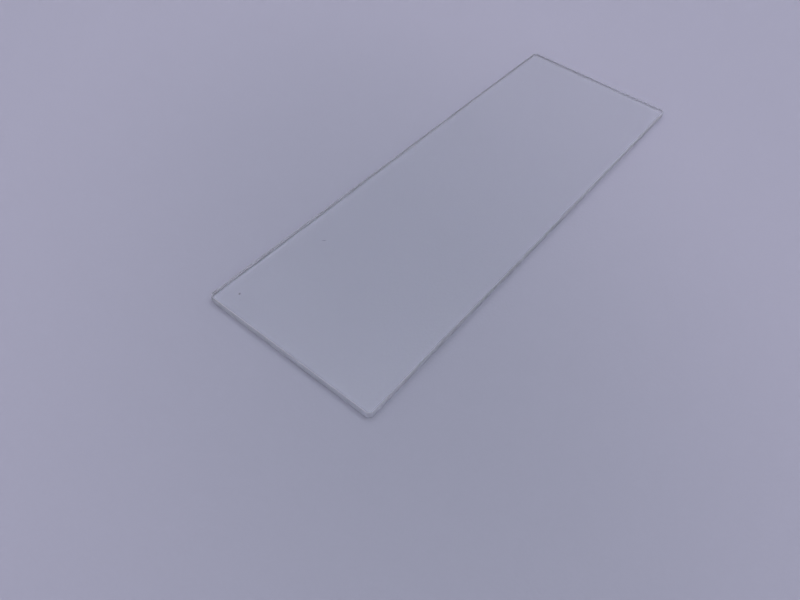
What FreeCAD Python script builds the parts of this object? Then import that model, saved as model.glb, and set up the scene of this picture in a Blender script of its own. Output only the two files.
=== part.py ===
import FreeCAD, Part
import os

# Plain microscope slide: one piece of sheet glass, cut to size and ground at its edges.
# Millimetres, lying flat. X runs along the slide, Y across it and Z up.
# The origin is the centre of the underside.

# Driving dimensions
slide_length = 75.0
slide_width = 25.0
slide_thickness = 1.0
corner_clip = 0.4       # leg of the 45 degree facet ground on each corner
corner_blend = 0.2      # radius left where a facet runs into a long or a short edge
rim_bevel = 0.08        # leg of the bevel that takes the sharpness off each rim


def upright_edges(sheet):
    """Edges that run through the thickness."""
    return [edge for edge in sheet.Edges if edge.BoundBox.ZLength > slide_thickness / 2]


def rim_edges(sheet):
    """Edges round the two faces."""
    return [edge for edge in sheet.Edges if edge.BoundBox.ZLength < slide_thickness / 2]


def cut_sheet():
    """The plain oblong, as it is scored and broken out of the drawn sheet."""
    near_corner = FreeCAD.Vector(-slide_length / 2, -slide_width / 2, 0)
    return Part.makeBox(slide_length, slide_width, slide_thickness, near_corner)


def grind_corners(sheet):
    """Take each corner off at 45 degrees, then dub the facet into the edges on each side of it."""
    clipped = sheet.makeChamfer(corner_clip, upright_edges(sheet))
    return clipped.makeFillet(corner_blend, upright_edges(clipped))


def bevel_rims(sheet):
    """Bevel both rims all the way round, which leaves a flat ground land between two bevels."""
    return sheet.makeChamfer(rim_bevel, rim_edges(sheet))


def glass_slide():
    """The finished slide, as one solid."""
    ground = bevel_rims(grind_corners(cut_sheet()))
    return ground.Solids[0]


os.makedirs("parts", exist_ok=True)
slide = glass_slide()
slide.exportStep("parts/glass_slide.step")
print("glass_slide", slide.ShapeType, slide.isValid(), round(slide.Volume, 2), "mm3")
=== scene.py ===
# A plain microscope slide: one piece of clear glass with ground edges, lying on pale matt paper.
# Metres, +Z up. X runs along the slide and the origin is the centre of its underside.
import math
import bpy
from mathutils import Matrix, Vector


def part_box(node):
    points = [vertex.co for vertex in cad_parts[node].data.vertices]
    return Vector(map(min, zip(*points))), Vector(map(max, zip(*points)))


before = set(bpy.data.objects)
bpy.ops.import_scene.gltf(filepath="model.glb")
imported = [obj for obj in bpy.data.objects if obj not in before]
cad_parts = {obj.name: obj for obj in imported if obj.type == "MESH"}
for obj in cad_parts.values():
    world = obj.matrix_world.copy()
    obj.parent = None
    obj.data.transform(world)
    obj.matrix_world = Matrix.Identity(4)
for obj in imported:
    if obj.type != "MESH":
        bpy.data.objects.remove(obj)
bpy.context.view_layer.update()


# --- Camera -------------------------------------------------------------------------------------
# Hand-held over the near left end of the slide, close in, with a slightly wide lens. It looks
# along the slide and down at about half a right angle, and leans a few degrees to the left.
camera_place = (-0.06656, -0.03459, 0.06411)
camera_heading = math.radians(34.153)
camera_down = math.radians(50.170)
camera_lean = math.radians(5.709)
camera_lens = 30.61
camera_sensor = 36.0
camera_clip = 0.005
quarter_turn = math.radians(90)

camera_data = bpy.data.cameras.new("camera")
camera_data.lens = camera_lens
camera_data.sensor_width = camera_sensor
camera_data.clip_start = camera_clip
camera = bpy.data.objects.new("camera", camera_data)
camera.matrix_world = (
    Matrix.Translation(camera_place)
    @ Matrix.Rotation(camera_heading - quarter_turn, 4, "Z")
    @ Matrix.Rotation(quarter_turn - camera_down, 4, "X")
    @ Matrix.Rotation(camera_lean, 4, "Z")
)
bpy.context.scene.collection.objects.link(camera)
bpy.context.scene.camera = camera


# --- Light --------------------------------------------------------------------------------------
# Soft studio light, cool as daylight: a plain room whose ceiling is brighter than its walls, and
# one long panel high up towards the far end of the slide, just above what the slide mirrors.
light_color = (0.87, 0.87, 1.0)
wall_light = 0.392
ceiling_light = 1.625
ceiling_spread = 7.05                # how fast the ceiling falls off to the walls
panel_width = 1.33
panel_height = 0.29
panel_distance = 1.0
panel_heading = math.radians(30)
panel_rise = math.radians(71.5)
panel_power = 2.97
light_bounces = 48

room = bpy.data.worlds.new("room")
room.use_nodes = True
room_nodes = room.node_tree.nodes
room_links = room.node_tree.links
direction = room_nodes.new("ShaderNodeTexCoord")
height = room_nodes.new("ShaderNodeSeparateXYZ")
overhead = room_nodes.new("ShaderNodeMath")
overhead.operation = "POWER"
overhead.inputs[1].default_value = ceiling_spread
walls_to_ceiling = room_nodes.new("ShaderNodeMapRange")
walls_to_ceiling.inputs["To Min"].default_value = wall_light
walls_to_ceiling.inputs["To Max"].default_value = ceiling_light
room_background = room_nodes["Background"]
room_background.inputs["Color"].default_value = (*light_color, 1)
room_links.new(direction.outputs["Generated"], height.inputs[0])
room_links.new(height.outputs["Z"], overhead.inputs[0])
room_links.new(overhead.outputs["Value"], walls_to_ceiling.inputs["Value"])
room_links.new(walls_to_ceiling.outputs["Result"], room_background.inputs["Strength"])
bpy.context.scene.world = room

panel_data = bpy.data.lights.new("panel", "AREA")
panel_data.shape = "RECTANGLE"
panel_data.size = panel_width
panel_data.size_y = panel_height
panel_data.energy = panel_power
panel_data.color = light_color
panel = bpy.data.objects.new("panel", panel_data)
panel.matrix_world = (
    Matrix.Rotation(panel_heading - quarter_turn, 4, "Z")
    @ Matrix.Rotation(panel_rise - quarter_turn, 4, "X")
    @ Matrix.Translation((0, 0, panel_distance))
)
bpy.context.scene.collection.objects.link(panel)

# Light reaches the paper through the slide, so its paths are traced without blurring or clamping.
bpy.context.scene.cycles.blur_glossy = 0.0
bpy.context.scene.cycles.sample_clamp_indirect = 0.0
bpy.context.scene.cycles.max_bounces = light_bounces
bpy.context.scene.cycles.transmission_bounces = light_bounces
bpy.context.scene.cycles.glossy_bounces = light_bounces


# --- Paper --------------------------------------------------------------------------------------
# Not part of the slide: the sheet of matt paper that it lies on. The paper is pale grey and slightly
# felted, light wanders a little way into it, and a broad soft painted shade lies along it under the
# slide.
paper_half = 1.5
paper_gap = 0.000022                 # the slide touches only the paper's highest fibres
paper_spread = 0.0005                # how far light wanders sideways between the fibres
paper_roughness = 0.9
paper_gloss = 0.2
paper_lit = (0.467, 0.460, 0.538, 1)
paper_shaded = (0.376, 0.386, 0.446, 1)
shade_center = (-0.0275, -0.0100, 0)
shade_reach = (0.104, 0.057, 1)
shade_turn = math.radians(50)
fibre_scale = 2500.0
fibre_detail = 4.0
fibre_tone = 0.012
fibre_height = 0.00002

paper_mesh = bpy.data.meshes.new("paper")
paper_mesh.from_pydata(
    [(-paper_half, -paper_half, -paper_gap), (paper_half, -paper_half, -paper_gap),
     (paper_half, paper_half, -paper_gap), (-paper_half, paper_half, -paper_gap)],
    [],
    [(0, 1, 2, 3)],
)
paper = bpy.data.objects.new("paper", paper_mesh)
bpy.context.scene.collection.objects.link(paper)
paper_material = bpy.data.materials.new("paper")
paper_material.use_nodes = True
paper_nodes = paper_material.node_tree.nodes
paper_links = paper_material.node_tree.links
paper_shader = paper_nodes["Principled BSDF"]
paper_place = paper_nodes.new("ShaderNodeTexCoord")

# Painted shade: the paper's colour runs from paper_lit to paper_shaded across a soft oval, a broad
# shadow painted into the paper instead of cast by anything.
shade_place = paper_nodes.new("ShaderNodeMapping")
shade_place.vector_type = "TEXTURE"
shade_place.inputs["Location"].default_value = shade_center
shade_place.inputs["Rotation"].default_value = (0, 0, shade_turn)
shade_place.inputs["Scale"].default_value = shade_reach
shade = paper_nodes.new("ShaderNodeTexGradient")
shade.gradient_type = "SPHERICAL"
paper_painted_shade = paper_nodes.new("ShaderNodeValToRGB")
paper_painted_shade.color_ramp.interpolation = "EASE"
paper_painted_shade.color_ramp.elements[0].color = paper_lit
paper_painted_shade.color_ramp.elements[1].color = paper_shaded
paper_links.new(paper_place.outputs["Object"], shade_place.inputs["Vector"])
paper_links.new(shade_place.outputs["Vector"], shade.inputs["Vector"])
paper_links.new(shade.outputs["Fac"], paper_painted_shade.inputs["Fac"])

fibres = paper_nodes.new("ShaderNodeTexNoise")
fibres.inputs["Scale"].default_value = fibre_scale
fibres.inputs["Detail"].default_value = fibre_detail
fibre_shade = paper_nodes.new("ShaderNodeMapRange")
fibre_shade.inputs["To Min"].default_value = 1 - fibre_tone
fibre_shade.inputs["To Max"].default_value = 1 + fibre_tone
felted_tone = paper_nodes.new("ShaderNodeVectorMath")
felted_tone.operation = "SCALE"
fibre_relief = paper_nodes.new("ShaderNodeBump")
fibre_relief.inputs["Distance"].default_value = fibre_height
paper_links.new(paper_place.outputs["Object"], fibres.inputs["Vector"])
paper_links.new(fibres.outputs["Fac"], fibre_shade.inputs["Value"])
paper_links.new(paper_painted_shade.outputs["Color"], felted_tone.inputs[0])
paper_links.new(fibre_shade.outputs["Result"], felted_tone.inputs["Scale"])
paper_links.new(fibres.outputs["Fac"], fibre_relief.inputs["Height"])
paper_links.new(felted_tone.outputs["Vector"], paper_shader.inputs["Base Color"])
paper_links.new(fibre_relief.outputs["Normal"], paper_shader.inputs["Normal"])
paper_shader.subsurface_method = "BURLEY"
paper_shader.inputs["Subsurface Weight"].default_value = 1.0
paper_shader.inputs["Subsurface Radius"].default_value = (1.0, 1.0, 1.0)
paper_shader.inputs["Subsurface Scale"].default_value = paper_spread
paper_shader.inputs["Roughness"].default_value = paper_roughness
paper_shader.inputs["Specular IOR Level"].default_value = paper_gloss
paper_mesh.materials.append(paper_material)


# --- Slide --------------------------------------------------------------------------------------
# One piece of clear soda-lime sheet glass. The two faces keep the polish they were drawn with, and
# the edges, the bevels and the corner facets are ground matt on a fine wheel. A speck of dust and a
# wisp of lint lie on the upper face.
glass_index = 1.52
body_color = (0.72, 0.80, 0.82, 1)   # the faint blue-green of sheet glass
body_density = 10.0                  # absorbed per metre where the colour is black
polished_color = (0.990, 0.999, 1.0, 1)
haze_scale = 90.0                    # the faint film left by wiping, in patches about a finger wide
haze_roughness = (0.0, 0.03)
# Painted highlight: the upper bevels are left untinted, so they show paler than the lands of the
# same ground finish.
bevel_painted_highlight_color = (1.0, 1.0, 1.0, 1)
# The lands' ground grey; the foot colour is darker than the top colour as painted shade.
land_foot_shaded_color = (0.64, 0.64, 0.665, 1)
land_top_color = (0.775, 0.775, 0.80, 1)
land_painted_light_slope = (-1.9, -14.4, 0.0)      # painted light: how the lands are made paler along and across the slide, per metre
ground_roughness = (0.96, 1.0)
ground_mottle = (0.97, 1.03)
mottle_scale = 6000.0
mark_scale = (2000.0, 2000.0, 45000.0)  # wheel marks: long and level, a few hundredths apart
mark_height = 0.000001
finish_step = 0.000004               # how sharply one finish gives way to the next
chip_scale = 9000.0
chip_share = (0.5, 1.0)              # only the grain's upper half chips the rim
chip_reach = 0.00002                 # how far the wheel strays over the rim onto a face
grain_detail = 2.0
grain_span = (0.3, 0.7)              # nearly all of a grain lies between these two
dust_color = (0.35, 0.34, 0.32, 1)
dust_core = 0.8                      # the dust thins away outside this share of its size
dust_depth = 0.0001                  # keeps the dust on the upper face
speck_place = (-0.03500, 0.00993)
speck_size = (0.00018, 0.00014)
speck_turn = math.radians(20)
lint_place = (-0.02173, 0.00850)
lint_size = (0.00030, 0.00005)
lint_turn = math.radians(-48)

# Where the solid changes from one surface to the next, read from its own corners.
same_plane = 0.00001
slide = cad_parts["glass_slide"]
slide_low, slide_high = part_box("glass_slide")
slide_middle = (slide_low.z + slide_high.z) / 2
corners = [vertex.co for vertex in slide.data.vertices]
top_rim = [corner for corner in corners if corner.z > slide_high.z - same_plane]
end_land = [corner for corner in corners if corner.x > slide_high.x - same_plane]
polished_half_length = max(corner.x for corner in top_rim)
polished_half_width = max(corner.y for corner in top_rim)
polished_reach = max(corner.x + corner.y for corner in top_rim)
land_half_height = max(corner.z for corner in end_land) - slide_middle

glass = bpy.data.materials.new("clear_glass")
glass.use_nodes = True
nodes = glass.node_tree.nodes
links = glass.node_tree.links
glass_shader = nodes["Principled BSDF"]
place = nodes.new("ShaderNodeTexCoord").outputs["Object"]


def feed(socket, value):
    """Link another node's output to a socket, or write a plain value in it."""
    if isinstance(value, bpy.types.NodeSocket):
        links.new(value, socket)
    else:
        socket.default_value = value


def glass_math(operation, first, second=0.0):
    """A Math node in the glass."""
    node = nodes.new("ShaderNodeMath")
    node.operation = operation
    feed(node.inputs[0], first)
    feed(node.inputs[1], second)
    return node.outputs["Value"]


def scaled(vector, amount):
    """A colour made darker or paler by an amount."""
    node = nodes.new("ShaderNodeVectorMath")
    node.operation = "SCALE"
    feed(node.inputs[0], vector)
    feed(node.inputs["Scale"], amount)
    return node.outputs["Vector"]


def ramp(value, start, end, low=0.0, high=1.0):
    """A value that runs from low to high while another runs from start to end."""
    node = nodes.new("ShaderNodeMapRange")
    feed(node.inputs["Value"], value)
    feed(node.inputs["From Min"], start)
    feed(node.inputs["From Max"], end)
    feed(node.inputs["To Min"], low)
    feed(node.inputs["To Max"], high)
    return node.outputs["Result"]


def blend(amount, first, second):
    """A colour that runs from the first to the second as the amount runs from 0 to 1."""
    node = nodes.new("ShaderNodeMix")
    node.data_type = "RGBA"
    factor, first_color, second_color = node.inputs[0], node.inputs[6], node.inputs[7]
    feed(factor, amount)
    feed(first_color, first)
    feed(second_color, second)
    return node.outputs[2]


def grain(scale, vector=place):
    """Noise of a given scale, a fixed pattern from 0 to 1."""
    node = nodes.new("ShaderNodeTexNoise")
    feed(node.inputs["Vector"], vector)
    feed(node.inputs["Scale"], scale)
    feed(node.inputs["Detail"], grain_detail)
    return node.outputs["Fac"]


def dust_spot(spot_place, size, turn):
    """A mask for one small oval of dust that lies on the upper face."""
    around = nodes.new("ShaderNodeMapping")
    around.vector_type = "TEXTURE"
    feed(around.inputs["Vector"], place)
    around.inputs["Location"].default_value = (*spot_place, slide_high.z)
    around.inputs["Rotation"].default_value = (0, 0, turn)
    around.inputs["Scale"].default_value = (*size, dust_depth)
    distance = nodes.new("ShaderNodeVectorMath")
    distance.operation = "LENGTH"
    feed(distance.inputs[0], around.outputs["Vector"])
    return ramp(distance.outputs["Value"], 1.0, dust_core)


# Where the wheel has been: everything outside the polished oblong, with small chips over its rim.
split = nodes.new("ShaderNodeSeparateXYZ")
feed(split.inputs[0], place)
along = glass_math("ABSOLUTE", split.outputs["X"])
across = glass_math("ABSOLUTE", split.outputs["Y"])
past_end = glass_math("SUBTRACT", along, polished_half_length)
past_side = glass_math("SUBTRACT", across, polished_half_width)
past_corner = glass_math("SUBTRACT", glass_math("ADD", along, across), polished_reach)
past_rim = glass_math("MAXIMUM", glass_math("MAXIMUM", past_end, past_side), past_corner)
chips = ramp(grain(chip_scale), *chip_share, 0.0, chip_reach)
ground = ramp(glass_math("ADD", past_rim, chips), -finish_step, finish_step)
above_middle = glass_math("SUBTRACT", split.outputs["Z"], slide_middle)
past_land = glass_math("SUBTRACT", above_middle, land_half_height)
# 0 at a land's foot and 1 at its top: spreads the painted shade at the foot.
up_land = ramp(above_middle, -land_half_height, land_half_height)
# The upper bevels, which carry the painted highlight.
bevel = ramp(past_land, -finish_step, finish_step)
dust = glass_math("MAXIMUM", dust_spot(speck_place, speck_size, speck_turn),
                  dust_spot(lint_place, lint_size, lint_turn))

# Colour: clear faces, upper bevels left untinted as a painted highlight, and mottled lands with
# painted shade that makes them a little darker at their foot, and painted light that makes them
# paler towards the corner nearest the camera. The dust is thin enough to see through.
land_painted_light = nodes.new("ShaderNodeVectorMath")
land_painted_light.operation = "DOT_PRODUCT"
feed(land_painted_light.inputs[0], place)
land_painted_light.inputs[1].default_value = land_painted_light_slope
land_color = scaled(blend(up_land, land_foot_shaded_color, land_top_color),
                    glass_math("ADD", land_painted_light.outputs["Value"], 1.0))
ground_color = scaled(blend(bevel, land_color, bevel_painted_highlight_color),
                      ramp(grain(mottle_scale), *grain_span, *ground_mottle))
finish_color = blend(ground, polished_color, ground_color)
feed(glass_shader.inputs["Base Color"], blend(dust, finish_color, dust_color))

# Roughness: a trace of haze on the faces, and a fine tooth wherever the glass is ground.
mark_place = nodes.new("ShaderNodeMapping")
feed(mark_place.inputs["Vector"], place)
mark_place.inputs["Scale"].default_value = mark_scale
marks = grain(1.0, mark_place.outputs["Vector"])
haze = ramp(grain(haze_scale), *grain_span, *haze_roughness)
tooth = ramp(marks, *grain_span, *ground_roughness)
feed(glass_shader.inputs["Roughness"], ramp(ground, 0.0, 1.0, haze, tooth))

# Relief: the wheel's level marks, on ground glass only.
relief = nodes.new("ShaderNodeBump")
relief.inputs["Distance"].default_value = mark_height
feed(relief.inputs["Height"], glass_math("MULTIPLY", marks, ground))
feed(glass_shader.inputs["Normal"], relief.outputs["Normal"])

glass_shader.inputs["Transmission Weight"].default_value = 1.0
glass_shader.inputs["IOR"].default_value = glass_index
body = nodes.new("ShaderNodeVolumeAbsorption")
body.inputs["Color"].default_value = body_color
body.inputs["Density"].default_value = body_density
links.new(body.outputs["Volume"], nodes["Material Output"].inputs["Volume"])

slide.data.materials.clear()
slide.data.materials.append(glass)

bpy.context.scene.view_settings.view_transform = "Standard"
